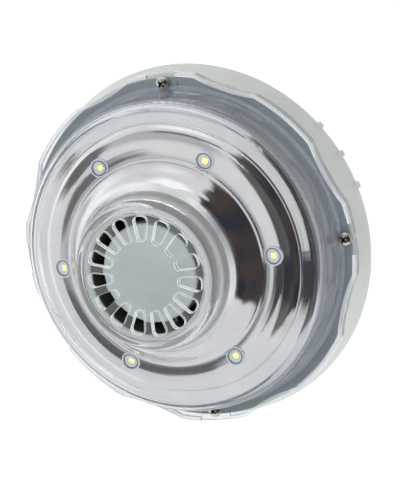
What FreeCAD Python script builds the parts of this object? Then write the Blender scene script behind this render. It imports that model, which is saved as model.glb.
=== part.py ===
"""Hydro-powered underwater pool light, as an assembly of separate parts.

The light hangs on a pool's return fitting. A threaded wall adaptor stays on the fitting, and the
light twist-locks onto it. Water flows through the middle, turns a small turbine generator and
leaves through the slots of the clear nose.

Frame: +Z up, the water's axis along Y, and the pool towards -Y. The origin is the centre of the
adaptor's rear face, where it meets the wall. Every round part is drawn as a lathe profile of
(radius, height) pairs, where height is the distance in front of the wall face. Angles run from
+X towards +Z. Millimetres.
"""

import FreeCAD, Part
import math
import os

Vector = FreeCAD.Vector
ORIGIN = Vector(0, 0, 0)
FORWARD = Vector(0, -1, 0)
TINY = 0.05

# Wall adaptor and bayonet
THREAD_R = 22.4
THREAD_LENGTH = 13.0
GASKET_SEAT_R = 21.5
GASKET_SEAT_END = 15.2
WATER_INLET_R = 17.5
ADAPTOR_RIM_R = 33.0
ADAPTOR_RIM_THICKNESS = 4.0
ADAPTOR_BARREL_R = 27.5
ADAPTOR_LENGTH = 22.0
ADAPTOR_GRIPS = 18
ADAPTOR_GRIP_R = 2.6
ADAPTOR_O_RING_HEIGHT = 19.7
ADAPTOR_O_RING_WIRE_R = 1.0
LUGS = 3
LUG_R = 30.3
LUG_LOW = 12.4
LUG_HIGH = 16.2
LUG_SPAN = 22.0
TWIST = 30.0
SOCKET_CLEARANCE = 0.3
SOCKET_LIP_LOW = 4.6
SOCKET_LIP_HIGH = 12.0
SOCKET_CHAMBER_HIGH = 17.0
SOCKET_CHAMBER_R = 30.8
SOCKET_DEPTH = 23.0

# Rear housing
HUB_R = 36.0
HUB_FRONT = 30.0
BACK_WALL = 3.0
LAND_HEIGHT = 40.0
LAND_THICKNESS = 3.0
LAND_INNER_R = 76.4
LAND_OUTER_R = 86.6
GASKET_INNER_R = 77.5
GASKET_OUTER_R = 79.7
GASKET_LOW = 38.4
STIFFENERS = 8
STIFFENER_THICKNESS = 1.8
STIFFENER_FRONT = 26.0
GUSSETS = 12
GUSSET_THICKNESS = 2.2
GRIP_GROUPS = 2
GRIP_CENTRE = 25.5
GRIP_PITCH = 11.0
GRIP_RIB_SPAN = 2.0

# Clear cover
COVER_LOW = 40.05
SCREW_RING_R = 84.0
SCREWS = 4
LOBES = 8
LOBE_R = 89.2
LOBE_HALF_ANGLE = 11.8
DIP_R = 86.2
LIP_WIDTH = 1.7
LIP_TOP = 44.6
FLANGE_TOP = 42.2
BOSS_TOP = 43.0
BOSS_HALF_WIDTH = 7.8
DOME_FOOT_R = 80.6
DOME_INNER_FOOT_R = 77.2
NOSE_FRONT = 98.0
GRILLE_SEAT_R = 32.25
GRILLE_SEAT_HEIGHT = 94.2
NOSE_BORE_R = 34.1
NOSE_BORE_LOW = 88.6

# Outlet grille
GRILLE_R = 32.1
GRILLE_LOW = 94.3
SLOTS = 15
SLOT_PHASE = 85.0
SLOT_OUTER_R = 30.2
SLOT_INNER_R = 17.6
SLOT_OUTER_HALF_WIDTH = 4.2
SLOT_INNER_HALF_WIDTH = 2.1
SLOT_OUTER_CORNER_R = 2.6
SLOT_INNER_CORNER_R = 1.5

# LEDs
LEDS = 6
LED_RING_R = 56.6
LED_BOARD_LOW = 65.4
LED_BOARD_TOP = 67.0
LED_BOARD_INNER_R = 51.0
LED_BOARD_OUTER_R = 61.0
LENS_R = 4.9
LENS_HOLE_R = 5.0
STAKE_R = 1.2

# Flow tube
TUBE_BORE_R = 30.0
TUBE_OUTER_R = 33.0
TUBE_FRONT = 94.0
TUBE_SPIGOT_R = 24.0
TUBE_SEAT_R = 21.0
TUBE_REAR = 24.0
TUBE_FLANGE_TOP = 33.0
TUBE_SCREW_R = 30.2
TUBE_SCREWS = 3
FRONT_O_RING_HEIGHT = 90.7
REAR_O_RING_HEIGHT = 27.0

# Generator
SHAFT_R = 2.0
BUSH_BORE_R = 2.05
BUSH_R = 4.0
SHAFT_REAR = 26.8
SHAFT_FRONT = 88.2
POD_R = 25.0
POD_INNER_R = 23.0
POD_REAR = 57.0
POD_FRONT = 90.5
POD_FACE_THICKNESS = 2.0
POD_BOSS_R = 7.0
POD_BOSS_LOW = 84.4
CAP_REAR = 55.4
CAP_FRONT = 59.8
VANES = 5
VANE_LOW = 58.0
VANE_HIGH = 72.0
VANE_THICKNESS = 2.0
WIRE_VANE_THICKNESS = 4.0
LEAD_ANGLE = 200.0
LEAD_HEIGHT = 61.3
LEAD_R = 0.9
LEAD_DUCT_R = 1.1
MAGNET_R = 11.2
MAGNET_BORE_R = 5.0
CAN_INNER_R = 11.7
CAN_OUTER_R = 12.4
CORE_LOW = 65.0
CORE_HIGH = 81.0
YOKE_INNER_R = 20.0
TEETH = 6
TOOTH_WIDTH = 4.0
POLE_SHOE_R = 14.2
POLE_SHOE_SPAN = 46.0
BLADES = 7
BLADE_HUB_R = 13.0
BLADE_TIP_R = 29.4
BLADE_LOW = 43.5
BLADE_HIGH = 53.5
BLADE_THICKNESS = 1.6

# Driver board, an arc of circuit board in the dry chamber
BOARD_INNER_R = 39.0
BOARD_OUTER_R = 72.0
BOARD_START = 165.0
BOARD_SPAN = 70.0
BOARD_LOW = 34.0
BOARD_TOP = 35.6
BOARD_POSTS = ((43.5, 170.0), (43.5, 230.0), (67.5, 200.0))
BOARD_POST_R = 2.8
BOARD_SCREW_R = 1.2
LED_LEAD_ANGLE = 222.0
LED_LEAD_R = 0.9


def polar(radius, angle, height):
    """Point at a radius and angle about the axis, at a height in front of the wall."""
    turn = math.radians(angle)
    return Vector(radius * math.cos(turn), -height, radius * math.sin(turn))


def turned(shape, angle):
    """Copy of a shape, turned about the lamp's axis."""
    copy = shape.copy()
    copy.rotate(ORIGIN, FORWARD, angle)
    return copy


def around(shape, count, start=0.0):
    """Copies of a shape, evenly spaced about the axis."""
    return [turned(shape, start + 360.0 * index / count) for index in range(count)]


def wire_of(points, rounding):
    """Closed wire through points, each corner rounded by the radius beside it."""
    edges = []
    ends = []
    count = len(points)
    for index, corner in enumerate(points):
        radius = rounding[index]
        before = points[index - 1] - corner
        after = points[(index + 1) % count] - corner
        if not radius:
            ends.append((corner, corner))
            continue
        opening = before.getAngle(after)
        reach = radius / math.tan(opening / 2)
        first = corner + before.normalize() * reach
        last = corner + after.normalize() * reach
        bisector = (before + after).normalize()
        middle = corner + bisector * (radius / math.sin(opening / 2) - radius)
        edges.append(Part.Arc(first, middle, last).toShape())
        ends.append((first, last))
    for index in range(count):
        leave = ends[index][1]
        arrive = ends[(index + 1) % count][0]
        if leave.distanceToPoint(arrive) > 1e-6:
            edges.append(Part.makeLine(leave, arrive))
    return Part.Wire(Part.__sortEdges__(edges))


def lathe(profile, span=360.0, start=0.0):
    """Solid of revolution of (radius, height[, corner rounding]) points about the axis."""
    points = [Vector(point[0], -point[1], 0) for point in profile]
    rounding = [point[2] if len(point) > 2 else 0.0 for point in profile]
    face = Part.Face(wire_of(points, rounding))
    return turned(face.revolve(ORIGIN, FORWARD, span), start)


def ring(inner, outer, low, high):
    """Flat ring between two radii and two heights."""
    return lathe([(inner, low), (outer, low), (outer, high), (inner, high)])


def disc(radius, low, high, centre=(0.0, 0.0)):
    """Cylinder along the axis, or beside it at a (radius, angle) centre."""
    base = polar(centre[0], centre[1], low)
    return Part.makeCylinder(radius, high - low, base, FORWARD)


def block(inner, outer, width, low, high, angle=0.0):
    """Box that runs outwards from one radius to another, centred on an angle."""
    corner = Vector(inner, -high, -width / 2)
    return turned(Part.makeBox(outer - inner, high - low, width, corner), angle)


def tube_along(edges, radius):
    """Round wire of constant radius along joined edges."""
    path = Part.Wire(edges)
    start = edges[0].Vertexes[0].Point
    tangent = edges[0].tangentAt(edges[0].FirstParameter)
    section = Part.Wire(Part.makeCircle(radius, start, tangent))
    return path.makePipeShell([section], True, False)


def o_ring(wire_r, centre_r, height):
    """Rubber ring of round section."""
    return Part.makeTorus(centre_r, wire_r, Vector(0, -height, 0), FORWARD)


def pan_screw(shank_r, head_r, head_height, length):
    """Cross-recessed pan-head screw, head seat at height 0, point towards the wall."""
    profile = [
        (0, -length),
        (0.3 * shank_r, -length),
        (shank_r, -length + 2 * shank_r),
        (shank_r, 0),
        (head_r, 0, 0.15 * head_r),
        (head_r, 0.45 * head_height, 0.4 * head_r),
        (0.45 * head_r, head_height, 0.6 * head_r),
        (0, head_height),
    ]
    screw = lathe(profile)
    arm = 0.56 * head_r
    width = 0.3 * head_r
    depth = 0.62 * head_height
    for angle in (45.0, 135.0):
        slot = block(-arm, arm, width, head_height - depth, head_height + 1, angle)
        screw = screw.cut(slot)
    return screw


def placed(shape, radius, angle, height):
    """Copy of a shape moved from the axis to a place on a ring."""
    copy = turned(shape, angle)
    copy.translate(polar(radius, angle, height))
    return copy


def lobed_face(inset):
    """Outline of the flange: round lobes with shallow hollows between them."""
    lobe_r = LOBE_R - inset
    dip_r = DIP_R - inset
    pitch = 360.0 / LOBES
    edges = []
    for lobe in range(LOBES):
        middle = lobe * pitch
        first = polar(lobe_r, middle - LOBE_HALF_ANGLE, 0)
        crest = polar(lobe_r, middle, 0)
        last = polar(lobe_r, middle + LOBE_HALF_ANGLE, 0)
        dip = polar(dip_r, middle + pitch / 2, 0)
        onward = polar(lobe_r, middle + pitch - LOBE_HALF_ANGLE, 0)
        edges.append(Part.Arc(first, crest, last).toShape())
        edges.append(Part.Arc(last, dip, onward).toShape())
    return Part.Face(Part.Wire(edges))


def lobed_slab(inset, low, high):
    """Slab with the flange's outline."""
    face = lobed_face(inset)
    face.translate(FORWARD * low)
    return face.extrude(FORWARD * (high - low))


# ---- wall adaptor body ----

def wall_adaptor():
    groove_r = ADAPTOR_BARREL_R - 1.9
    groove_low = ADAPTOR_O_RING_HEIGHT - 1.15
    groove_high = ADAPTOR_O_RING_HEIGHT + 1.15
    body = lathe([
        (THREAD_R, 0),
        (ADAPTOR_RIM_R, 0, 0.6),
        (ADAPTOR_RIM_R, ADAPTOR_RIM_THICKNESS, 0.6),
        (ADAPTOR_BARREL_R, ADAPTOR_RIM_THICKNESS),
        (ADAPTOR_BARREL_R, groove_low),
        (groove_r, groove_low),
        (groove_r, groove_high),
        (ADAPTOR_BARREL_R, groove_high),
        (ADAPTOR_BARREL_R, ADAPTOR_LENGTH, 0.5),
        (WATER_INLET_R, ADAPTOR_LENGTH, 0.8),
        (WATER_INLET_R, GASKET_SEAT_END),
        (GASKET_SEAT_R, GASKET_SEAT_END),
        (GASKET_SEAT_R, THREAD_LENGTH),
        (THREAD_R, THREAD_LENGTH),
    ])
    for grip in around(disc(ADAPTOR_GRIP_R, -1, ADAPTOR_RIM_THICKNESS + 0.5, (ADAPTOR_RIM_R + 1.3, 0)),
                       ADAPTOR_GRIPS):
        body = body.cut(grip)
    lug = lathe([
        (ADAPTOR_BARREL_R - 1, LUG_LOW),
        (LUG_R, LUG_LOW, 0.4),
        (LUG_R, LUG_HIGH, 0.4),
        (ADAPTOR_BARREL_R - 1, LUG_HIGH),
    ], LUG_SPAN, -LUG_SPAN / 2)
    return body.fuse(around(lug, LUGS, 90.0)).removeSplitter()


def wall_gasket():
    return ring(WATER_INLET_R + 0.1, GASKET_SEAT_R - 0.1, THREAD_LENGTH, GASKET_SEAT_END)


def adaptor_o_ring():
    centre_r = ADAPTOR_BARREL_R - 1.9 + ADAPTOR_O_RING_WIRE_R
    return o_ring(ADAPTOR_O_RING_WIRE_R, centre_r, ADAPTOR_O_RING_HEIGHT)


# ---- light body: housing ----

def housing_shell():
    socket_r = ADAPTOR_BARREL_R + SOCKET_CLEARANCE
    spigot_bore_r = TUBE_SPIGOT_R + SOCKET_CLEARANCE
    return lathe([
        (socket_r, SOCKET_LIP_LOW),
        (HUB_R, SOCKET_LIP_LOW, 1.2),
        (HUB_R, 14.0, 3.0),
        (60.0, 16.4, 30.0),
        (82.0, 20.0, 6.0),
        (91.0, 24.0, 4.2),
        (LAND_OUTER_R, LAND_HEIGHT, 0.5),
        (LAND_INNER_R, LAND_HEIGHT),
        (LAND_INNER_R, LAND_HEIGHT - LAND_THICKNESS),
        (83.6, LAND_HEIGHT - LAND_THICKNESS),
        (87.0, 26.8, 3.0),
        (81.0, 20.0 + BACK_WALL + 0.6, 6.0),
        (60.0, 16.4 + BACK_WALL + 0.2, 30.0),
        (HUB_R, 14.0 + BACK_WALL, 2.0),
        (HUB_R, HUB_FRONT),
        (spigot_bore_r, HUB_FRONT),
        (spigot_bore_r, SOCKET_DEPTH),
        (socket_r, SOCKET_DEPTH),
        (socket_r, SOCKET_CHAMBER_HIGH),
        (SOCKET_CHAMBER_R, SOCKET_CHAMBER_HIGH),
        (SOCKET_CHAMBER_R, SOCKET_LIP_HIGH),
        (socket_r, SOCKET_LIP_HIGH),
    ])


def grip_ribs():
    """Low ribs round the rim, to turn the light by hand."""
    rib = lathe([
        (84.0, 24.0),
        (89.2, 22.4, 1.0),
        (91.4, 24.2, 1.0),
        (90.8, 28.0, 3.0),
        (87.6, 32.0),
        (84.0, 32.0),
    ], GRIP_RIB_SPAN, -GRIP_RIB_SPAN / 2)
    shapes = []
    for group in range(GRIP_GROUPS):
        centre = GRIP_CENTRE + 360.0 * group / GRIP_GROUPS
        for offset in (-GRIP_PITCH, 0.0, GRIP_PITCH):
            shapes.append(turned(rib, centre + offset))
    return shapes


def stiffeners():
    """Thin radial ribs inside the back of the housing."""
    wedge = lathe([
        (HUB_R - 1, 16.0),
        (60.0, 18.0),
        (81.0, 22.0),
        (84.0, STIFFENER_FRONT),
        (HUB_R - 1, STIFFENER_FRONT),
    ], 4.0, -2.0)
    rib = wedge.common(block(HUB_R - 2, 90.0, STIFFENER_THICKNESS, 0, 60))
    return around(rib, STIFFENERS, 22.5)


def hub_gussets():
    """Webs outside the back that brace the central socket."""
    wedge = lathe([
        (HUB_R - 1, 6.6),
        (HUB_R + 1.0, 6.6),
        (56.0, 16.0),
        (56.0, 17.5),
        (HUB_R - 1, 16.0),
    ], 8.0, -4.0)
    web = wedge.common(block(HUB_R - 2, 60.0, GUSSET_THICKNESS, 0, 60))
    return around(web, GUSSETS, 30.0)


def led_posts():
    """Posts whose pins are heat-staked through the LED board."""
    post = disc(2.4, 18.4, LED_BOARD_LOW, (LED_RING_R, 0))
    pin = disc(STAKE_R, LED_BOARD_LOW - 1, LED_BOARD_TOP, (LED_RING_R, 0))
    return around(post.fuse(pin), LEDS, 30.0)


def board_posts():
    posts = []
    for radius, angle in BOARD_POSTS:
        root = 17.0 + (radius - BOARD_POSTS[0][0]) * 0.09
        posts.append(disc(BOARD_POST_R, root, BOARD_LOW, (radius, angle)))
    return posts


def rear_housing():
    shell = housing_shell()
    screw_posts = around(disc(3.2, 24.8, LAND_HEIGHT - 1, (SCREW_RING_R - 0.1, 0)), SCREWS)
    for group in (grip_ribs(), screw_posts, stiffeners(), hub_gussets(), led_posts(), board_posts()):
        shell = shell.fuse(group)

    cuts = around(disc(1.75, 28.0, LAND_HEIGHT + 1, (SCREW_RING_R, 0)), SCREWS)
    cuts.append(ring(GASKET_INNER_R - 0.1, GASKET_OUTER_R + 0.1, GASKET_LOW, LAND_HEIGHT + 1))
    cuts += around(disc(1.5, 20.0, HUB_FRONT + 1, (TUBE_SCREW_R, 0)), TUBE_SCREWS, 60.0)
    for radius, angle in BOARD_POSTS:
        cuts.append(disc(BOARD_SCREW_R, BOARD_LOW - 8, BOARD_LOW + 1, (radius, angle)))
    notch = lathe([
        (ADAPTOR_BARREL_R - 1, SOCKET_LIP_LOW - 1),
        (SOCKET_CHAMBER_R, SOCKET_LIP_LOW - 1),
        (SOCKET_CHAMBER_R, SOCKET_LIP_HIGH + 1),
        (ADAPTOR_BARREL_R - 1, SOCKET_LIP_HIGH + 1),
    ], LUG_SPAN + 3.0, -LUG_SPAN / 2 - 1.5)
    cuts += around(notch, LUGS, 90.0 - TWIST)
    for cut in cuts:
        shell = shell.cut(cut)
    return shell


def cover_gasket():
    return ring(GASKET_INNER_R, GASKET_OUTER_R, GASKET_LOW, COVER_LOW)


# ---- light body: clear front ----

def cover_dome():
    """Smooth dome and flared nose of the clear cover."""
    return lathe([
        (DOME_INNER_FOOT_R, COVER_LOW),
        (DOME_FOOT_R + 2.0, COVER_LOW),
        (DOME_FOOT_R + 2.0, FLANGE_TOP),
        (DOME_FOOT_R, FLANGE_TOP, 0.8),
        (79.3, 60.6, 3.6),
        (75.6, 65.6, 5.0),
        (69.0, 70.6, 12.0),
        (61.0, 72.4, 20.0),
        (51.5, 73.4, 12.0),
        (42.6, 82.4, 16.0),
        (38.4, 92.2, 12.0),
        (36.6, NOSE_FRONT, 3.2),
        (GRILLE_SEAT_R, NOSE_FRONT, 0.4),
        (GRILLE_SEAT_R, GRILLE_SEAT_HEIGHT),
        (NOSE_BORE_R, GRILLE_SEAT_HEIGHT),
        (NOSE_BORE_R, NOSE_BORE_LOW),
        (36.4, NOSE_BORE_LOW - 0.6, 0.8),
        (40.2, 81.2, 14.0),
        (49.9, 71.6, 9.0),
        (60.4, 70.2, 10.0),
        (67.8, 68.4, 10.0),
        (73.8, 63.9, 4.0),
        (76.9, 59.2, 3.0),
    ])


def front_cover():
    flange = lobed_slab(0, COVER_LOW, LIP_TOP)
    tray = lobed_slab(LIP_WIDTH, FLANGE_TOP, LIP_TOP + 1)
    flange = flange.cut(tray)
    flange = flange.cut(disc(DOME_FOOT_R + 1.0, LAND_HEIGHT - 1, LIP_TOP + 1))
    boss = block(DOME_FOOT_R - 1.4, LOBE_R - LIP_WIDTH + 0.6, 2 * BOSS_HALF_WIDTH, FLANGE_TOP - 1, BOSS_TOP)
    cover = cover_dome().fuse([flange] + around(boss, SCREWS))
    lip_gap = block(DOME_FOOT_R + 0.6, LOBE_R + 1, 2 * BOSS_HALF_WIDTH, BOSS_TOP, LIP_TOP + 1)
    screw_hole = disc(2.0, LAND_HEIGHT - 1, BOSS_TOP + 3, (SCREW_RING_R, 0))
    for cut in around(lip_gap, SCREWS) + around(screw_hole, SCREWS):
        cover = cover.cut(cut)
    return cover.removeSplitter()


def cover_screws():
    screw = pan_screw(1.75, 3.5, 2.3, 13.0)
    return [placed(screw, SCREW_RING_R, 360.0 * index / SCREWS, BOSS_TOP) for index in range(SCREWS)]


def grille_slot():
    """Cutter for one radial slot, wide and round outside, narrow inside."""
    points = [
        Vector(SLOT_INNER_R, 0, -SLOT_INNER_HALF_WIDTH),
        Vector(SLOT_OUTER_R, 0, -SLOT_OUTER_HALF_WIDTH),
        Vector(SLOT_OUTER_R, 0, SLOT_OUTER_HALF_WIDTH),
        Vector(SLOT_INNER_R, 0, SLOT_INNER_HALF_WIDTH),
    ]
    rounding = [SLOT_INNER_CORNER_R, SLOT_OUTER_CORNER_R, SLOT_OUTER_CORNER_R, SLOT_INNER_CORNER_R]
    face = Part.Face(wire_of(points, rounding))
    face.translate(FORWARD * (GRILLE_LOW - 1))
    return face.extrude(FORWARD * (NOSE_FRONT - GRILLE_LOW + 2))


def outlet_grille():
    plate = lathe([
        (0, GRILLE_LOW),
        (GRILLE_R, GRILLE_LOW),
        (GRILLE_R, NOSE_FRONT, 0.4),
        (0, NOSE_FRONT),
    ])
    for slot in around(grille_slot(), SLOTS, SLOT_PHASE):
        plate = plate.cut(slot)
    return plate


def reflector():
    """Bright stepped bell, 1.3 mm thick, with a hole for each LED lens."""
    bell = lathe([
        (76.2, 56.4),
        (76.2, 58.6, 0.8),
        (74.8, 60.9, 2.2),
        (68.4, 62.3, 0.3),
        (67.9, 63.9, 2.5),
        (65.4, 66.3, 8.0),
        (61.0, 68.3, 20.0),
        (52.3, 69.1, 0.3),
        (52.0, 70.3, 0.3),
        (50.6, 70.7, 1.5),
        (41.6, 77.8, 14.0),
        (38.3, 84.0),
        (37.2, 83.6),
        (40.4, 77.0, 14.0),
        (50.2, 69.4, 3.0),
        (50.9, 67.1),
        (61.2, 67.1, 3.0),
        (64.8, 65.2, 4.0),
        (66.9, 63.2, 1.5),
        (67.3, 61.1),
        (73.9, 59.6, 1.5),
        (75.0, 56.4),
    ])
    for hole in around(disc(LENS_HOLE_R, 60, 75, (LED_RING_R, 0)), LEDS):
        bell = bell.cut(hole)
    return bell


def led_board():
    board = ring(LED_BOARD_INNER_R, LED_BOARD_OUTER_R, LED_BOARD_LOW, LED_BOARD_TOP)
    for hole in around(disc(STAKE_R, LED_BOARD_LOW - 1, LED_BOARD_TOP + 1, (LED_RING_R, 0)), LEDS, 30.0):
        board = board.cut(hole)
    return board


def led_packages():
    """White LED bodies with a shallow well for the phosphor."""
    low = LED_BOARD_TOP
    body = block(LED_RING_R - 1.75, LED_RING_R + 1.75, 3.5, low, low + 0.8)
    well = block(LED_RING_R - 1.45, LED_RING_R + 1.45, 2.9, low + 0.4, low + 2)
    return around(body.cut(well), LEDS)


def led_phosphors():
    low = LED_BOARD_TOP + 0.4
    return around(block(LED_RING_R - 1.45, LED_RING_R + 1.45, 2.9, low, low + 0.35), LEDS)


def led_lenses():
    """Clear caps over the LEDs: a flat window, a ring groove and a skirt down to the board."""
    lens = lathe([
        (0, LED_BOARD_TOP + 1.3),
        (LENS_R - 0.6, LED_BOARD_TOP + 1.3),
        (LENS_R - 0.6, LED_BOARD_TOP),
        (LENS_R, LED_BOARD_TOP),
        (LENS_R, LED_BOARD_TOP + 2.4, 0.2),
        (4.3, LED_BOARD_TOP + 2.4, 0.2),
        (4.1, LED_BOARD_TOP + 2.0),
        (3.7, LED_BOARD_TOP + 2.0),
        (3.5, LED_BOARD_TOP + 2.3),
        (0, LED_BOARD_TOP + 2.3),
    ])
    return [placed(lens, LED_RING_R, 360.0 * index / LEDS, 0) for index in range(LEDS)]


# ---- light body: water path ----

def flow_tube():
    rear_groove_r = TUBE_SPIGOT_R - 1.6
    front_groove_r = TUBE_OUTER_R - 1.4
    tube = lathe([
        (TUBE_SEAT_R, TUBE_REAR),
        (TUBE_SPIGOT_R, TUBE_REAR),
        (TUBE_SPIGOT_R, REAR_O_RING_HEIGHT - 1.1),
        (rear_groove_r, REAR_O_RING_HEIGHT - 1.1),
        (rear_groove_r, REAR_O_RING_HEIGHT + 1.1),
        (TUBE_SPIGOT_R, REAR_O_RING_HEIGHT + 1.1),
        (TUBE_SPIGOT_R, HUB_FRONT),
        (HUB_R, HUB_FRONT),
        (HUB_R, TUBE_FLANGE_TOP),
        (TUBE_SPIGOT_R + 0.6, TUBE_FLANGE_TOP, 1.0),
        (TUBE_OUTER_R, 42.6, 6.0),
        (TUBE_OUTER_R, FRONT_O_RING_HEIGHT - 1.2),
        (front_groove_r, FRONT_O_RING_HEIGHT - 1.2),
        (front_groove_r, FRONT_O_RING_HEIGHT + 1.2),
        (TUBE_OUTER_R, FRONT_O_RING_HEIGHT + 1.2),
        (TUBE_OUTER_R, TUBE_FRONT, 0.6),
        (TUBE_BORE_R, TUBE_FRONT, 0.9),
        (TUBE_BORE_R, 42.0, 6.0),
        (18.4, HUB_FRONT),
        (TUBE_SEAT_R, HUB_FRONT),
    ])
    for hole in around(disc(1.6, HUB_FRONT - 1, TUBE_FLANGE_TOP + 1, (TUBE_SCREW_R, 0)), TUBE_SCREWS, 60.0):
        tube = tube.cut(hole)
    duct = Part.makeCylinder(LEAD_DUCT_R, 10, Vector(TUBE_BORE_R - 3, -LEAD_HEIGHT, 0), Vector(1, 0, 0))
    return tube.cut(turned(duct, LEAD_ANGLE))


def tube_screws():
    screw = pan_screw(1.5, 2.9, 2.0, 10.0)
    angles = [60.0 + 360.0 * index / TUBE_SCREWS for index in range(TUBE_SCREWS)]
    return [placed(screw, TUBE_SCREW_R, angle, TUBE_FLANGE_TOP) for angle in angles]


def tube_o_ring_rear():
    wire_r = 0.9
    return o_ring(wire_r, TUBE_SPIGOT_R - 1.6 + wire_r, REAR_O_RING_HEIGHT)


def tube_o_ring_front():
    wire_r = 1.05
    return o_ring(wire_r, TUBE_OUTER_R - 1.4 + wire_r, FRONT_O_RING_HEIGHT)


def inlet_spider():
    """Guide ring with four vanes that hold the rear bearing in the water."""
    outer = ring(18.4, TUBE_SEAT_R - TINY, TUBE_REAR + 0.2, HUB_FRONT)
    hub = lathe([
        (0, 22.6),
        (3.0, 22.9, 1.5),
        (6.0, 25.6, 2.5),
        (6.0, 32.0, 0.4),
        (BUSH_R, 32.0),
        (BUSH_R, 26.2),
        (0, 26.2),
    ])
    arms = around(block(5.0, 19.2, 1.8, 24.6, 29.6), 4, 45.0)
    return outer.fuse([hub] + arms).removeSplitter()


def rear_bush():
    return lathe([
        (BUSH_BORE_R, 26.6),
        (BUSH_R, 26.6),
        (BUSH_R, 32.0),
        (5.2, 32.0),
        (5.2, 32.7, 0.2),
        (BUSH_BORE_R, 32.7),
    ])


def front_bush():
    return ring(BUSH_BORE_R, BUSH_R, POD_BOSS_LOW, POD_FRONT - POD_FACE_THICKNESS - 0.1)


def generator_pod():
    """Sealed cup in the middle of the water, held by vanes; its flat face shows behind the grille."""
    face_low = POD_FRONT - POD_FACE_THICKNESS
    cup = lathe([
        (0, POD_FRONT),
        (POD_R, POD_FRONT, 1.2),
        (POD_R, POD_REAR),
        (POD_INNER_R, POD_REAR),
        (POD_INNER_R, face_low, 1.0),
        (POD_BOSS_R, face_low),
        (POD_BOSS_R, POD_BOSS_LOW),
        (BUSH_R, POD_BOSS_LOW),
        (BUSH_R, face_low),
        (0, face_low),
    ])
    vane = block(POD_R - 1.0, TUBE_BORE_R + 1, VANE_THICKNESS, VANE_LOW, VANE_HIGH)
    wire_vane = block(POD_R - 1.0, TUBE_BORE_R + 1, WIRE_VANE_THICKNESS, VANE_LOW, VANE_HIGH)
    vanes = [turned(wire_vane, LEAD_ANGLE)]
    for index in range(1, VANES):
        vanes.append(turned(vane, LEAD_ANGLE + 360.0 * index / VANES))
    bore = disc(TUBE_BORE_R - TINY, VANE_LOW - 1, VANE_HIGH + 1)
    pod = cup.fuse([vane_shape.common(bore) for vane_shape in vanes])
    duct = Part.makeCylinder(LEAD_DUCT_R, 12, Vector(POD_INNER_R - 2, -LEAD_HEIGHT, 0), Vector(1, 0, 0))
    return pod.cut(turned(duct, LEAD_ANGLE)).removeSplitter()


def pod_rear_cap():
    return lathe([
        (3.0, CAP_REAR),
        (POD_R, CAP_REAR, 0.6),
        (POD_R, POD_REAR),
        (POD_INNER_R - TINY, POD_REAR),
        (POD_INNER_R - TINY, CAP_FRONT),
        (3.0, CAP_FRONT),
    ])


def stator_can():
    return ring(CAN_INNER_R, CAN_OUTER_R, CAP_FRONT, POD_BOSS_LOW)


def stator_core():
    yoke = ring(YOKE_INNER_R, POD_INNER_R - TINY, CORE_LOW, CORE_HIGH)
    tooth = block(POLE_SHOE_R - 0.4, YOKE_INNER_R + 0.5, TOOTH_WIDTH, CORE_LOW, CORE_HIGH)
    shoe = lathe([
        (CAN_OUTER_R + 0.1, CORE_LOW),
        (POLE_SHOE_R, CORE_LOW),
        (POLE_SHOE_R, CORE_HIGH),
        (CAN_OUTER_R + 0.1, CORE_HIGH),
    ], POLE_SHOE_SPAN, -POLE_SHOE_SPAN / 2)
    return yoke.fuse(around(tooth, TEETH) + around(shoe, TEETH)).removeSplitter()


def stator_coils():
    """One rounded winding round each stator tooth."""
    middle = (CORE_LOW + CORE_HIGH) / 2
    half_height = (CORE_HIGH - CORE_LOW) / 2
    low_r = POLE_SHOE_R + 0.4
    high_r = YOKE_INNER_R - 0.6

    def loop(half_width, half_length, corner_r):
        corners = [(-1, -1), (1, -1), (1, 1), (-1, 1)]
        points = [Vector(low_r, -middle + x * half_length, z * half_width) for x, z in corners]
        return Part.Face(wire_of(points, [corner_r] * 4)).extrude(Vector(high_r - low_r, 0, 0))

    outer = loop(TOOTH_WIDTH / 2 + 2.4, half_height + 2.3, 2.2)
    inner = loop(TOOTH_WIDTH / 2 + TINY, half_height + TINY, 0)
    return around(outer.cut(inner), TEETH)


def rotor_shaft():
    return lathe([
        (0, SHAFT_REAR),
        (SHAFT_R - 0.3, SHAFT_REAR),
        (SHAFT_R, SHAFT_REAR + 0.3),
        (SHAFT_R, SHAFT_FRONT - 0.3),
        (SHAFT_R - 0.3, SHAFT_FRONT),
        (0, SHAFT_FRONT),
    ])


def blade():
    """Twisted turbine blade: three sections, flatter towards the tip."""
    middle = (BLADE_LOW + BLADE_HIGH) / 2
    sections = []
    for radius, pitch in ((BLADE_HUB_R - 1.5, 32.0), (21.0, 50.0), (BLADE_TIP_R + 1.5, 60.0)):
        half_chord = (BLADE_HIGH - BLADE_LOW) / 2 / math.cos(math.radians(pitch))
        tilt = math.radians(pitch)
        along = Vector(0, -math.cos(tilt), math.sin(tilt)) * half_chord
        across = Vector(0, math.sin(tilt), math.cos(tilt)) * (BLADE_THICKNESS / 2)
        centre = Vector(radius, -middle, 0)
        corners = [centre - along - across, centre + along - across, centre + along + across,
                   centre - along + across]
        sections.append(Part.makePolygon(corners + [corners[0]]))
    loft = Part.makeLoft(sections, True, False)
    return loft.common(ring(BLADE_HUB_R - 0.6, BLADE_TIP_R, BLADE_LOW, BLADE_HIGH))


def turbine_rotor():
    hub = lathe([
        (SHAFT_R, 33.4),
        (4.6, 33.4, 0.5),
        (6.6, 37.0, 4.0),
        (BLADE_HUB_R, 43.4, 5.0),
        (BLADE_HUB_R, 54.0, 0.5),
        (BLADE_HUB_R - 1.8, 54.0),
        (BLADE_HUB_R - 1.8, 46.0),
        (5.0, 44.0, 2.0),
        (5.0, 54.6, 0.5),
        (SHAFT_R, 54.6),
    ])
    return hub.fuse(around(blade(), BLADES)).removeSplitter()


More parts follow.
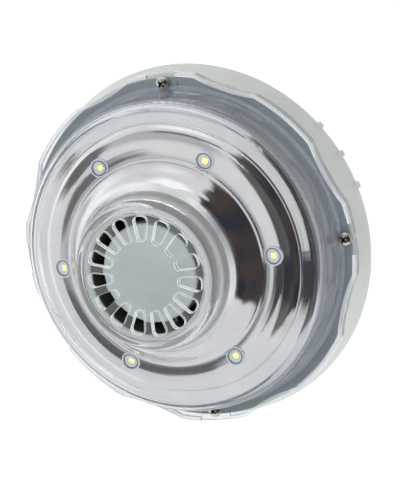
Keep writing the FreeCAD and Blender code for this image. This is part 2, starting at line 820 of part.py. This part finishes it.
def magnet_hub():
    return lathe([
        (SHAFT_R, 62.0),
        (MAGNET_BORE_R + 2.5, 62.0),
        (MAGNET_BORE_R + 2.5, 63.6),
        (MAGNET_BORE_R, 63.6),
        (MAGNET_BORE_R, 82.4),
        (SHAFT_R, 82.4),
    ])


def rotor_magnet():
    return lathe([
        (MAGNET_BORE_R, 64.0),
        (MAGNET_R, 64.0, 0.4),
        (MAGNET_R, 82.0, 0.4),
        (MAGNET_BORE_R, 82.0),
    ])


def thrust_washers():
    return [ring(BUSH_BORE_R, 4.6, 32.8, 33.35), ring(BUSH_BORE_R, 4.6, 83.0, 83.6)]


# ---- light body: electrics ----

def driver_board():
    board = lathe([
        (BOARD_INNER_R, BOARD_LOW),
        (BOARD_OUTER_R, BOARD_LOW),
        (BOARD_OUTER_R, BOARD_TOP),
        (BOARD_INNER_R, BOARD_TOP),
    ], BOARD_SPAN, BOARD_START)
    for radius, angle in BOARD_POSTS:
        board = board.cut(disc(1.4, BOARD_LOW - 1, BOARD_TOP + 1, (radius, angle)))
    board = board.cut(disc(3.0, BOARD_LOW - 1, BOARD_TOP + 1, (LED_RING_R, 210.0)))
    return board


def board_screws():
    screw = pan_screw(BOARD_SCREW_R, 2.2, 1.6, 8.0)
    return [placed(screw, radius, angle, BOARD_TOP) for radius, angle in BOARD_POSTS]


def driver_components():
    """Smoothing capacitors, coil, rectifiers, regulator chips and two wire terminals."""
    low = BOARD_TOP
    parts = [
        lathe([(0, low), (4.0, low, 0.4), (4.0, low + 11, 0.6), (0, low + 11)]),
        lathe([(0, low), (4.0, low, 0.4), (4.0, low + 11, 0.6), (0, low + 11)]),
        ring(2.2, 5.6, low, low + 5.5),
    ]
    places = ((62.0, 188.0), (62.0, 177.0), (64.5, 216.0))
    shapes = [placed(part, radius, angle, 0) for part, (radius, angle) in zip(parts, places)]
    for radius, angle in ((52.0, 190.0), (52.0, 196.0), (52.0, 202.0), (49.0, 184.0)):
        shapes.append(block(radius - 2.2, radius + 2.2, 2.6, low, low + 2.0, angle))
    for radius, angle in ((60.0, 205.0), (47.0, 218.0)):
        shapes.append(block(radius - 2.5, radius + 2.5, 4.0, low, low + 1.6, angle))
    shapes.append(block(40.4, 44.6, 5.0, low, low + 4.0, LEAD_ANGLE))
    shapes.append(block(53.4, 57.6, 4.0, low, low + 4.0, LED_LEAD_ANGLE))
    return shapes


def generator_lead():
    """Wire from the stator through its vane to the driver board, with one quarter bend."""
    bend = 5.0
    run_end = 37.5
    drop_r = run_end + bend
    corner = Vector(run_end, -LEAD_HEIGHT + bend, 0)
    middle = corner + Vector(bend * math.sin(math.pi / 4), -bend * math.cos(math.pi / 4), 0)
    edges = [
        Part.makeLine(Vector(21.4, -LEAD_HEIGHT, 0), Vector(run_end, -LEAD_HEIGHT, 0)),
        Part.Arc(Vector(run_end, -LEAD_HEIGHT, 0), middle, Vector(drop_r, -LEAD_HEIGHT + bend, 0)).toShape(),
        Part.makeLine(Vector(drop_r, -LEAD_HEIGHT + bend, 0), Vector(drop_r, -BOARD_TOP - 4.0, 0)),
    ]
    return turned(tube_along(edges, LEAD_R), LEAD_ANGLE)


def led_lead():
    """Straight wire pair from the driver board up to the LED ring."""
    return disc(LED_LEAD_R, BOARD_TOP + 4.0, LED_BOARD_LOW, (55.5, LED_LEAD_ANGLE))


NODES = {
    "wall_adaptor": wall_adaptor,
    "wall_gasket": wall_gasket,
    "adaptor_o_ring": adaptor_o_ring,
    "rear_housing": rear_housing,
    "cover_gasket": cover_gasket,
    "front_cover": front_cover,
    "cover_screws": cover_screws,
    "outlet_grille": outlet_grille,
    "reflector": reflector,
    "led_board": led_board,
    "led_packages": led_packages,
    "led_phosphors": led_phosphors,
    "led_lenses": led_lenses,
    "flow_tube": flow_tube,
    "tube_screws": tube_screws,
    "tube_o_ring_rear": tube_o_ring_rear,
    "tube_o_ring_front": tube_o_ring_front,
    "inlet_spider": inlet_spider,
    "rear_bush": rear_bush,
    "front_bush": front_bush,
    "generator_pod": generator_pod,
    "pod_rear_cap": pod_rear_cap,
    "stator_can": stator_can,
    "stator_core": stator_core,
    "stator_coils": stator_coils,
    "rotor_shaft": rotor_shaft,
    "turbine_rotor": turbine_rotor,
    "magnet_hub": magnet_hub,
    "rotor_magnet": rotor_magnet,
    "thrust_washers": thrust_washers,
    "driver_board": driver_board,
    "board_screws": board_screws,
    "driver_components": driver_components,
    "generator_lead": generator_lead,
    "led_lead": led_lead,
}


def main():
    os.makedirs("parts", exist_ok=True)
    for name, make in NODES.items():
        shape = make()
        if isinstance(shape, list):
            shape = Part.makeCompound(shape)
        solids = len(shape.Solids)
        print(f"{name:20s} solids {solids:3d} valid {shape.isValid()} volume {shape.Volume / 1000:9.3f} cm3")
        shape.exportStep(f"parts/{name}.step")


main()
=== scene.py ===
import math

import bpy
from mathutils import Matrix, Vector

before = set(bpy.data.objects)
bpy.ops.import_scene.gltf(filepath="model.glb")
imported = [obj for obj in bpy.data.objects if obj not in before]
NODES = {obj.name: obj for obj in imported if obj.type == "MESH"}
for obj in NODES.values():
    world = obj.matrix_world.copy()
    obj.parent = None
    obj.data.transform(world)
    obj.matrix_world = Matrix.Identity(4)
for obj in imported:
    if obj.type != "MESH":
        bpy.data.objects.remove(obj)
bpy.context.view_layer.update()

MM = 0.001

# Places that the materials follow: radii from the lamp's axis and heights in front of the wall
LEDS = 6
LED_RING_R = 56.6 * MM
SCREWS = 4
SCREW_RING_R = 84.0 * MM
RECESS_R = 2.2 * MM
RECESS_LOW = 43.5 * MM
RECESS_HIGH = 44.5 * MM
NOSE_MILKY_R = 38.0 * MM
NOSE_CLEAR_R = 42.0 * MM
DOME_FOOT_R = 77.0 * MM
FLANGE_R = 82.4 * MM
LIP_LOW = 44.2 * MM
GROOVE_INNER_R = 3.45 * MM
GROOVE_OUTER_R = 4.2 * MM
TUBE_BORE_R = 30.4 * MM
TUBE_EDGE_LOW = 92.6 * MM
SLOTS_OUTER_R = 30.6 * MM
GRILLE_MIDDLE = 96.15 * MM
SLOT_BAND_HALF = 0.45 * MM

PLASTIC_IOR = 1.5
PLASTIC_GRAIN = 0.000012
PLASTIC_GRAIN_SCALE = 2600.0

# Sockets of the Mix node when it mixes colours
MIX_UNDER = 6
MIX_OVER = 7
MIX_RESULT = 2

# Camera: unit directions, and lengths in millimetres
CAMERA_BACK = (0.4198, -0.8836, 0.2073)
CAMERA_RIGHT = (0.9060, 0.3943, -0.1542)
CAMERA_DISTANCE = 1800.0
CAMERA_TARGET = (0.0, -44.0, 0.0)
CAMERA_SHIFT_RIGHT = 5.9
CAMERA_SHIFT_UP = 3.6
CAMERA_LENS = 270.3
CAMERA_SENSOR_WIDTH = 36.0

# Floor and lamp, in metres and watts
FLOOR_HALF_SIZE = 30.0
FLOOR_HEIGHT = -0.5
FLOOR_GLOW = 0.4
LAMP_PLACE = (-0.5, -1.9, 1.0)
LAMP_DIAMETER = 1.6
LAMP_POWER = 14.0

ROOM_TONE = (0.80, 0.80, 0.80)
BACKDROP_WHITE = (1.05, 1.05, 1.05)


# ---- node helpers ----

def new_material(name):
    """Empty node material with a Principled shader, and its tree."""
    material = bpy.data.materials.new(name)
    material.use_nodes = True
    tree = material.node_tree
    shader = tree.nodes["Principled BSDF"]
    return material, tree, shader


def object_coordinates(tree):
    """Coordinates in metres, in the row's frame."""
    return tree.nodes.new("ShaderNodeTexCoord").outputs["Object"]


def noise(tree, scale, detail=3.0, roughness=0.5, stretch=None):
    """Noise value at a scale per metre."""
    node = tree.nodes.new("ShaderNodeTexNoise")
    node.inputs["Scale"].default_value = scale
    node.inputs["Detail"].default_value = detail
    node.inputs["Roughness"].default_value = roughness
    place = object_coordinates(tree)
    if stretch:
        mapping = tree.nodes.new("ShaderNodeMapping")
        mapping.inputs["Scale"].default_value = stretch
        tree.links.new(place, mapping.inputs["Vector"])
        place = mapping.outputs["Vector"]
    tree.links.new(place, node.inputs["Vector"])
    return node.outputs["Fac"]


def ramp(tree, value, stops):
    """Colour ramp through (position, colour) stops."""
    node = tree.nodes.new("ShaderNodeValToRGB")
    elements = node.color_ramp.elements
    while len(elements) < len(stops):
        elements.new(0.5)
    for element, (position, colour) in zip(elements, stops):
        element.position = position
        element.color = (*colour, 1.0)
    tree.links.new(value, node.inputs["Fac"])
    return node.outputs["Color"]


def spread(tree, value, low, high, source=(0.25, 0.75)):
    """Value moved from its source range to low..high."""
    node = tree.nodes.new("ShaderNodeMapRange")
    node.inputs["From Min"].default_value = source[0]
    node.inputs["From Max"].default_value = source[1]
    node.inputs["To Min"].default_value = low
    node.inputs["To Max"].default_value = high
    tree.links.new(value, node.inputs["Value"])
    return node.outputs["Result"]


def bumped(tree, shader, value, depth):
    """Adds a bump of a depth in metres to the shader."""
    node = tree.nodes.new("ShaderNodeBump")
    node.inputs["Strength"].default_value = 1.0
    node.inputs["Distance"].default_value = depth
    tree.links.new(value, node.inputs["Height"])
    tree.links.new(node.outputs["Normal"], shader.inputs["Normal"])


def math_node(tree, operation, first, second=None):
    """Result of one arithmetic node; values may be numbers or sockets."""
    node = tree.nodes.new("ShaderNodeMath")
    node.operation = operation
    for socket, value in zip(node.inputs, (first, second)):
        if value is None:
            continue
        if isinstance(value, (int, float)):
            socket.default_value = value
        else:
            tree.links.new(value, socket)
    return node.outputs["Value"]


def blend(tree, factor, under, over):
    """Mix of two colours; each may be a tuple or a socket."""
    mix = tree.nodes.new("ShaderNodeMix")
    mix.data_type = "RGBA"
    tree.links.new(factor, mix.inputs["Factor"])
    colour_sockets = mix.inputs[MIX_UNDER], mix.inputs[MIX_OVER]
    for socket, colour in zip(colour_sockets, (under, over)):
        if isinstance(colour, tuple):
            socket.default_value = (*colour, 1.0)
        else:
            tree.links.new(colour, socket)
    return mix.outputs[MIX_RESULT]


def light_passes(tree, shader, tint):
    """Lets the light of lamps and of the room through a clear wall; the tint is a tuple or a socket."""
    path = tree.nodes.new("ShaderNodeLightPath")
    through = tree.nodes.new("ShaderNodeBsdfTransparent")
    if isinstance(tint, tuple):
        through.inputs["Color"].default_value = (*tint, 1.0)
    else:
        tree.links.new(tint, through.inputs["Color"])
    mix = tree.nodes.new("ShaderNodeMixShader")
    lit = math_node(tree, "MAXIMUM", path.outputs["Is Shadow Ray"], path.outputs["Is Diffuse Ray"])
    tree.links.new(lit, mix.inputs["Fac"])
    tree.links.new(shader.outputs["BSDF"], mix.inputs[1])
    tree.links.new(through.outputs["BSDF"], mix.inputs[2])
    tree.links.new(mix.outputs["Shader"], tree.nodes["Material Output"].inputs["Surface"])


def hypotenuse(tree, first, second):
    """Long side of a right-angled triangle with these two short sides."""
    squares = [math_node(tree, "POWER", side, 2.0) for side in (first, second)]
    return math_node(tree, "SQRT", math_node(tree, "ADD", squares[0], squares[1]))


def radius_and_height(tree):
    """Distance from the lamp's axis, and height in front of the wall, in metres."""
    split = tree.nodes.new("ShaderNodeSeparateXYZ")
    tree.links.new(object_coordinates(tree), split.inputs["Vector"])
    radius = hypotenuse(tree, split.outputs["X"], split.outputs["Z"])
    return radius, math_node(tree, "MULTIPLY", split.outputs["Y"], -1.0)


def ring_distance(tree, count, ring_r):
    """Distance in metres to the nearest of the evenly spaced places on a ring about the axis."""
    split = tree.nodes.new("ShaderNodeSeparateXYZ")
    tree.links.new(object_coordinates(tree), split.inputs["Vector"])
    radius = radius_and_height(tree)[0]
    angle = math_node(tree, "ARCTAN2", split.outputs["Z"], split.outputs["X"])
    pitch = math.tau / count
    folded = math_node(tree, "PINGPONG", angle, pitch / 2)
    outward = math_node(tree, "MULTIPLY", radius, math_node(tree, "COSINE", folded))
    along = math_node(tree, "SUBTRACT", outward, ring_r)
    aside = math_node(tree, "MULTIPLY", radius, math_node(tree, "SINE", folded))
    return hypotenuse(tree, along, aside)


def upright_faces(tree):
    """1 on faces that stand along the lamp's axis, 0 on those that face front or back."""
    normal = tree.nodes.new("ShaderNodeSeparateXYZ")
    tree.links.new(tree.nodes.new("ShaderNodeTexCoord").outputs["Normal"], normal.inputs["Vector"])
    return math_node(tree, "LESS_THAN", math_node(tree, "ABSOLUTE", normal.outputs["Y"]), 0.5)


def within(tree, value, low, high):
    """1 where the value lies between two limits."""
    over = math_node(tree, "GREATER_THAN", value, low)
    return math_node(tree, "MULTIPLY", over, math_node(tree, "LESS_THAN", value, high))


def shade_of(colour, factor):
    """Lighter or darker version of a colour."""
    return tuple(min(1.0, channel * factor) for channel in colour)


# ---- materials ----

def moulded_plastic(name, colour, roughness=0.42, mottle=0.05):
    """Opaque moulding: faint mottling, fine surface grain and uneven gloss."""
    material, tree, shader = new_material(name)
    cloud = noise(tree, 38.0, 4.0, 0.55)
    tone = ramp(tree, cloud, [(0.3, shade_of(colour, 1 - mottle)), (0.7, shade_of(colour, 1 + mottle))])
    tree.links.new(tone, shader.inputs["Base Color"])
    gloss = spread(tree, noise(tree, 160.0, 3.0), roughness - 0.06, roughness + 0.06)
    tree.links.new(gloss, shader.inputs["Roughness"])
    bumped(tree, shader, noise(tree, PLASTIC_GRAIN_SCALE, 2.0), PLASTIC_GRAIN)
    shader.inputs["IOR"].default_value = PLASTIC_IOR
    return material


def clear_plastic():
    """Clear polycarbonate: milkier in the thick nose, with painted highlights on the flange's walls and its
    lip.
    """
    material, tree, shader = new_material("clear_plastic_moulded")
    radius, height = radius_and_height(tree)
    # Painted highlight: the flange's upright walls and its lip are made pale and milky to show bright edges.
    flange = math_node(tree, "GREATER_THAN", radius, FLANGE_R)
    lip = math_node(tree, "MULTIPLY", flange, math_node(tree, "GREATER_THAN", height, LIP_LOW))
    wall = math_node(tree, "MULTIPLY", flange, upright_faces(tree))
    painted_highlight = math_node(tree, "MAXIMUM", lip, math_node(tree, "MULTIPLY", wall, 0.55))
    # Painted light: the foot band of the dome wall is made milky lavender to brighten it.
    foot = within(tree, radius, DOME_FOOT_R, FLANGE_R)
    clarity = spread(tree, radius, 0.84, 0.995, (NOSE_MILKY_R, NOSE_CLEAR_R))
    clarity = math_node(tree, "SUBTRACT", clarity, math_node(tree, "MULTIPLY", foot, 0.16))
    clarity = math_node(tree, "SUBTRACT", clarity, math_node(tree, "MULTIPLY", painted_highlight, 0.5))
    tree.links.new(clarity, shader.inputs["Transmission Weight"])
    shader.inputs["IOR"].default_value = PLASTIC_IOR
    cloud = noise(tree, 25.0, 2.0)
    tone = ramp(tree, cloud, [(0.3, (0.925, 0.935, 0.955)), (0.7, (0.965, 0.97, 0.98))])
    lavender = ramp(tree, cloud, [(0.3, (0.77, 0.80, 0.83)), (0.7, (0.85, 0.87, 0.89))])
    cast = math_node(tree, "GREATER_THAN", radius, DOME_FOOT_R)
    tone = blend(tree, cast, tone, lavender)
    tone = blend(tree, foot, tone, (0.81, 0.845, 0.915))
    tree.links.new(blend(tree, painted_highlight, tone, (0.95, 0.96, 0.98)), shader.inputs["Base Color"])
    tree.links.new(spread(tree, noise(tree, 90.0, 2.0), 0.0, 0.03), shader.inputs["Roughness"])
    bumped(tree, shader, noise(tree, 45.0, 1.0, 0.4), 0.00010)
    light_passes(tree, shader, blend(tree, cast, (0.95, 0.955, 0.965), (0.70, 0.73, 0.76)))
    return material


def lens_plastic():
    """LED caps: clear window, a ring groove painted dark as painted shade, and a pale milky rim."""
    material, tree, shader = new_material("lens_plastic_ringed")
    reach = ring_distance(tree, LEDS, LED_RING_R)
    groove = within(tree, reach, GROOVE_INNER_R, GROOVE_OUTER_R)
    rim = math_node(tree, "GREATER_THAN", reach, GROOVE_OUTER_R)
    tone = ramp(tree, noise(tree, 420.0, 2.0), [(0.3, (0.90, 0.94, 0.97)), (0.7, (0.96, 0.98, 0.99))])
    # Painted shade: the groove ring of each cap is coloured dark grey.
    tone = blend(tree, groove, tone, (0.20, 0.23, 0.26))
    tree.links.new(tone, shader.inputs["Base Color"])
    milky = math_node(tree, "MULTIPLY", math_node(tree, "MAXIMUM", groove, rim), 0.5)
    tree.links.new(math_node(tree, "SUBTRACT", 0.9, milky), shader.inputs["Transmission Weight"])
    shader.inputs["IOR"].default_value = 1.35
    tree.links.new(spread(tree, noise(tree, 300.0, 2.0), 0.0, 0.02), shader.inputs["Roughness"])
    light_passes(tree, shader, (0.95, 0.95, 0.95))
    return material


def tube_plastic():
    """Grey moulding of the flow tube, with painted shade down the bore and a pale front edge."""
    material, tree, shader = new_material("tube_plastic_painted_bore_shade")
    radius, height = radius_and_height(tree)
    bore = math_node(tree, "LESS_THAN", radius, TUBE_BORE_R)
    deep = math_node(tree, "LESS_THAN", height, TUBE_EDGE_LOW)
    cloud = noise(tree, 60.0, 4.0, 0.55)
    grey = ramp(tree, cloud, [(0.3, (0.48, 0.51, 0.50)), (0.7, (0.56, 0.59, 0.58))])
    # Painted shade: near-black colour down the narrow bore, where little light reaches.
    painted_shade = ramp(tree, cloud, [(0.3, (0.030, 0.036, 0.022)), (0.7, (0.055, 0.062, 0.040))])
    shaded_bore = math_node(tree, "MULTIPLY", bore, deep)
    tree.links.new(blend(tree, shaded_bore, grey, painted_shade), shader.inputs["Base Color"])
    tree.links.new(spread(tree, noise(tree, 160.0, 3.0), 0.32, 0.46), shader.inputs["Roughness"])
    bumped(tree, shader, noise(tree, PLASTIC_GRAIN_SCALE, 2.0), PLASTIC_GRAIN)
    return material


def grille_plastic():
    """Clear plate of the nose, with painted glowing highlights on the walls of its slots."""
    material, tree, shader = new_material("grille_plastic_clear")
    radius, height = radius_and_height(tree)
    in_slot = math_node(tree, "LESS_THAN", radius, SLOTS_OUTER_R)
    from_middle = math_node(tree, "ABSOLUTE", math_node(tree, "SUBTRACT", height, GRILLE_MIDDLE))
    at_edge = math_node(tree, "GREATER_THAN", from_middle, SLOT_BAND_HALF)
    # Painted highlight: the slot walls near the plate's faces are pale and milky and glow a little.
    painted_highlight = math_node(tree, "MULTIPLY", math_node(tree, "MULTIPLY", upright_faces(tree), in_slot), at_edge)
    tone = ramp(tree, noise(tree, 60.0, 3.0), [(0.3, (0.88, 0.90, 0.91)), (0.7, (0.93, 0.945, 0.95))])
    tree.links.new(blend(tree, painted_highlight, tone, (0.97, 0.98, 1.0)), shader.inputs["Base Color"])
    tree.links.new(spread(tree, painted_highlight, 0.95, 0.1, (0.0, 1.0)), shader.inputs["Transmission Weight"])
    tree.links.new(blend(tree, painted_highlight, (0.0, 0.0, 0.0), (0.5, 0.5, 0.52)), shader.inputs["Emission Color"])
    shader.inputs["Emission Strength"].default_value = 0.6
    shader.inputs["IOR"].default_value = PLASTIC_IOR
    tree.links.new(spread(tree, noise(tree, 150.0, 2.0), 0.01, 0.05), shader.inputs["Roughness"])
    light_passes(tree, shader, (0.88, 0.9, 0.9))
    return material


def bright_plating():
    """Vacuum-plated bell: mirror with slow waves from the moulding under it."""
    material, tree, shader = new_material("bright_plating_mirror")
    shader.inputs["Metallic"].default_value = 1.0
    tone = ramp(tree, noise(tree, 60.0, 3.0), [(0.3, (0.84, 0.842, 0.84)), (0.7, (0.90, 0.90, 0.895))])
    tree.links.new(tone, shader.inputs["Base Color"])
    tree.links.new(spread(tree, noise(tree, 220.0, 3.0), 0.01, 0.05), shader.inputs["Roughness"])
    bumped(tree, shader, noise(tree, 60.0, 1.0, 0.4), 0.00006)
    return material


def metal(name, colour, roughness=0.3, scratch=(1.0, 12.0, 1.0)):
    """Bare metal with fine lines and an uneven sheen."""
    material, tree, shader = new_material(name)
    shader.inputs["Metallic"].default_value = 1.0
    lines = noise(tree, 900.0, 3.0, stretch=scratch)
    tone = ramp(tree, lines, [(0.3, shade_of(colour, 0.86)), (0.7, shade_of(colour, 1.08))])
    tree.links.new(tone, shader.inputs["Base Color"])
    tree.links.new(spread(tree, lines, roughness - 0.08, roughness + 0.1), shader.inputs["Roughness"])
    bumped(tree, shader, lines, 0.00001)
    return material


def cross_head_steel():
    """Nickel-plated screws; the cross recess of the cover screws is painted near-black as painted shade."""
    material = metal("screw_steel_nickel", (0.80, 0.76, 0.70), 0.22)
    tree = material.node_tree
    shader = tree.nodes["Principled BSDF"]
    inside = math_node(tree, "LESS_THAN", ring_distance(tree, SCREWS, SCREW_RING_R), RECESS_R)
    sunk = within(tree, radius_and_height(tree)[1], RECESS_LOW, RECESS_HIGH)
    tone = shader.inputs["Base Color"].links[0].from_socket
    # Painted shade: the cross recess of the cover screws is coloured near-black.
    painted_shade = math_node(tree, "MULTIPLY", inside, sunk)
    tree.links.new(blend(tree, painted_shade, tone, (0.03, 0.026, 0.022)), shader.inputs["Base Color"])
    return material


def rubber(name, colour):
    """Dull elastomer with a dusty bloom."""
    material, tree, shader = new_material(name)
    bloom = noise(tree, 700.0, 5.0, 0.65)
    tone = ramp(tree, bloom, [(0.35, colour), (0.75, shade_of(colour, 1.5))])
    tree.links.new(tone, shader.inputs["Base Color"])
    tree.links.new(spread(tree, bloom, 0.55, 0.8), shader.inputs["Roughness"])
    bumped(tree, shader, bloom, 0.00003)
    return material


def led_gel():
    """Yellow phosphor gel that glows a little."""
    material, tree, shader = new_material("led_phosphor_gel")
    cells = noise(tree, 2600.0, 3.0)
    tone = ramp(tree, cells, [(0.3, (0.90, 0.74, 0.08)), (0.7, (0.98, 0.88, 0.22))])
    tree.links.new(tone, shader.inputs["Base Color"])
    tree.links.new(spread(tree, cells, 0.25, 0.4), shader.inputs["Roughness"])
    bumped(tree, shader, cells, 0.00002)
    tree.links.new(tone, shader.inputs["Emission Color"])
    shader.inputs["Emission Strength"].default_value = 0.75
    return material


GREY_PLASTIC = moulded_plastic("housing_plastic_satin", (0.63, 0.66, 0.635))
POD_PLASTIC = moulded_plastic("pod_plastic_satin", (0.47, 0.51, 0.515), 0.5, 0.09)
DARK_PLASTIC = moulded_plastic("rotor_plastic_dark", (0.020, 0.024, 0.018), 0.45)
WHITE_BOARD = moulded_plastic("board_solder_mask_white", (0.80, 0.85, 0.88), 0.35)
GREEN_BOARD = moulded_plastic("board_solder_mask_green", (0.015, 0.10, 0.04), 0.3)
BLACK_PARTS = moulded_plastic("component_moulding_black", (0.012, 0.012, 0.014), 0.5)
WASHER_WHITE = moulded_plastic("washer_plastic_white", (0.78, 0.77, 0.72), 0.3)
LED_WHITE = moulded_plastic("led_body_white", (0.85, 0.85, 0.83), 0.3)
WIRE_RED = moulded_plastic("lead_insulation_red", (0.35, 0.012, 0.010), 0.35)
CLEAR = clear_plastic()
LENS = lens_plastic()
TUBE = tube_plastic()
GRILLE = grille_plastic()
PLATING = bright_plating()
NICKEL = cross_head_steel()
GROUND_STEEL = metal("shaft_steel_ground", (0.58, 0.58, 0.60), 0.25)
BRONZE = metal("bush_bronze_plain", (0.50, 0.30, 0.12), 0.35)
CORE = metal("core_steel_varnished", (0.10, 0.105, 0.12), 0.4, (1.0, 60.0, 1.0))
COPPER = metal("copper_winding_enamel", (0.65, 0.22, 0.07), 0.3, (1.0, 30.0, 1.0))
FERRITE = moulded_plastic("magnet_ferrite_sintered", (0.022, 0.022, 0.025), 0.55)
BLACK_RUBBER = rubber("seal_rubber_black", (0.018, 0.019, 0.020))
SILICONE = rubber("clear_silicone_milky", (0.55, 0.58, 0.60))
PHOSPHOR = led_gel()

FINISH = {
    "housing_plastic": GREY_PLASTIC,
    "pod_plastic": POD_PLASTIC,
    "adaptor_plastic": GREY_PLASTIC,
    "clear_plastic": CLEAR,
    "bright_plating": PLATING,
    "screw_steel": NICKEL,
    "shaft_steel": GROUND_STEEL,
    "seal_rubber": BLACK_RUBBER,
    "clear_silicone": SILICONE,
    "board_white": WHITE_BOARD,
    "board_green": GREEN_BOARD,
    "led_body": LED_WHITE,
    "led_phosphor": PHOSPHOR,
    "component_black": BLACK_PARTS,
    "bush_bronze": BRONZE,
    "core_steel": CORE,
    "copper_winding": COPPER,
    "magnet_ferrite": FERRITE,
    "rotor_plastic": DARK_PLASTIC,
    "washer_plastic": WASHER_WHITE,
    "lead_insulation": WIRE_RED,
}
OWN_FINISH = {"led_lenses": LENS, "flow_tube": TUBE, "outlet_grille": GRILLE}
for node_name, node_object in NODES.items():
    for material_slot in node_object.material_slots:
        material_slot.material = OWN_FINISH.get(node_name, FINISH[material_slot.material.name])


# ---- stage ----

def stage():
    """Wide pale floor that glows a little, far enough below that no shadow shows."""
    mesh = bpy.data.meshes.new("floor")
    signs = [(-1, -1), (1, -1), (1, 1), (-1, 1)]
    corners = [(x * FLOOR_HALF_SIZE, y * FLOOR_HALF_SIZE, FLOOR_HEIGHT) for x, y in signs]
    mesh.from_pydata(corners, [], [(0, 1, 2, 3)])
    floor = bpy.data.objects.new("floor", mesh)
    bpy.context.scene.collection.objects.link(floor)
    material, tree, shader = new_material("floor_white")
    tone = ramp(tree, noise(tree, 2.0), [(0.3, (0.93, 0.93, 0.93)), (0.7, (0.95, 0.95, 0.95))])
    tree.links.new(tone, shader.inputs["Base Color"])
    tree.links.new(tone, shader.inputs["Emission Color"])
    shader.inputs["Emission Strength"].default_value = FLOOR_GLOW
    shader.inputs["Roughness"].default_value = 0.9
    floor.data.materials.append(material)
    floor.visible_glossy = False
    floor.visible_transmission = False


def room_noise(tree, place):
    """Slow clouds over the directions of the room."""
    node = tree.nodes.new("ShaderNodeTexNoise")
    node.inputs["Scale"].default_value = 3.0
    node.inputs["Detail"].default_value = 0.0
    tree.links.new(place, node.inputs["Vector"])
    return node.outputs["Fac"]


def studio():
    """Pale surroundings with soft light and dark patches, which stand for a room in the reflections.

    The camera itself sees plain white.
    """
    world = bpy.data.worlds.new("studio")
    bpy.context.scene.world = world
    world.use_nodes = True
    tree = world.node_tree
    background = tree.nodes["Background"]
    place = tree.nodes.new("ShaderNodeTexCoord").outputs["Generated"]
    split = tree.nodes.new("ShaderNodeSeparateXYZ")
    tree.links.new(place, split.inputs["Vector"])
    forward = math_node(tree, "MULTIPLY", split.outputs["Y"], -1.0)
    azimuth = math_node(tree, "ARCTAN2", split.outputs["X"], forward)
    elevation = math_node(tree, "ARCSINE", split.outputs["Z"])

    def patch(az, el, half_az, half_el, soft):
        """1 inside a soft-edged patch of directions, 0 outside; in degrees, with az to the right of front."""
        across = math_node(tree, "ABSOLUTE", math_node(tree, "SUBTRACT", azimuth, math.radians(az)))
        up = math_node(tree, "ABSOLUTE", math_node(tree, "SUBTRACT", elevation, math.radians(el)))
        factors = []
        for distance, half in ((across, half_az), (up, half_el)):
            node = tree.nodes.new("ShaderNodeMapRange")
            node.interpolation_type = "SMOOTHSTEP"
            node.inputs["From Min"].default_value = math.radians(half - soft)
            node.inputs["From Max"].default_value = math.radians(half + soft)
            node.inputs["To Min"].default_value = 1.0
            node.inputs["To Max"].default_value = 0.0
            tree.links.new(distance, node.inputs["Value"])
            factors.append(node.outputs["Result"])
        return math_node(tree, "MULTIPLY", factors[0], factors[1])

    room_stops = [(0.45, (0.020, 0.024, 0.038)), (0.66, (0.060, 0.046, 0.040))]
    brown = ramp(tree, room_noise(tree, place), room_stops)
    colour = ROOM_TONE
    layers = [
        (patch(-18, 80, 60, 16, 6), (1.2, 1.2, 1.2)),
        (patch(-26, 36, 26, 16, 6), (0.46, 0.46, 0.47)),
        (patch(-128, 10, 48, 60, 10), (1.1, 1.1, 1.1)),
        (patch(128, 10, 34, 60, 8), (1.05, 1.05, 1.05)),
        (patch(-60, 18, 14, 12, 3), (0.07, 0.068, 0.07)),
        (patch(-33, -5, 7, 5, 2), (0.12, 0.12, 0.125)),
        (patch(-34, -20, 12, 8, 3), (0.08, 0.085, 0.095)),
        (patch(-4, -18, 10, 5, 2), (0.05, 0.05, 0.06)),
        (patch(-8, 46, 26, 4, 3), (0.07, 0.07, 0.075)),
        (patch(57, 0, 35, 46, 3), brown),
        (patch(48, -6, 43, 34, 3), brown),
        (patch(69, 40, 23, 18, 3), brown),
    ]
    for factor, tone in layers:
        colour = blend(tree, factor, colour, tone)
    seen = tree.nodes.new("ShaderNodeLightPath").outputs["Is Camera Ray"]
    colour = blend(tree, seen, colour, BACKDROP_WHITE)
    tree.links.new(colour, background.inputs["Color"])
    background.inputs["Strength"].default_value = 1.0


def soft_front_light():
    """Broad soft lamp in front, above and to the left, for the matt parts only."""
    data = bpy.data.lights.new("soft_front", "AREA")
    data.shape = "DISK"
    data.size = LAMP_DIAMETER
    data.energy = LAMP_POWER
    data.specular_factor = 0.0
    lamp = bpy.data.objects.new("soft_front", data)
    bpy.context.scene.collection.objects.link(lamp)
    place = Vector(LAMP_PLACE)
    lamp.location = place
    lamp.rotation_euler = (-place).to_track_quat("-Z", "Y").to_euler()
    lamp.visible_glossy = False
    lamp.visible_camera = False
    lamp.visible_transmission = False


def camera():
    """Long lens from the front, right and a little above."""
    back = Vector(CAMERA_BACK).normalized()
    right = Vector(CAMERA_RIGHT)
    right = (right - back * right.dot(back)).normalized()
    up = back.cross(right)
    target = Vector(CAMERA_TARGET) + right * CAMERA_SHIFT_RIGHT + up * CAMERA_SHIFT_UP
    place = (target + back * CAMERA_DISTANCE) * MM
    data = bpy.data.cameras.new("camera")
    data.lens = CAMERA_LENS
    data.sensor_width = CAMERA_SENSOR_WIDTH
    data.clip_start = 0.01
    data.clip_end = 100.0
    shown = bpy.data.objects.new("camera", data)
    bpy.context.scene.collection.objects.link(shown)
    shown.matrix_world = Matrix.Translation(place) @ Matrix((right, up, back)).transposed().to_4x4()
    bpy.context.scene.camera = shown


stage()
studio()
soft_front_light()
camera()
bpy.context.scene.view_settings.view_transform = "Standard"
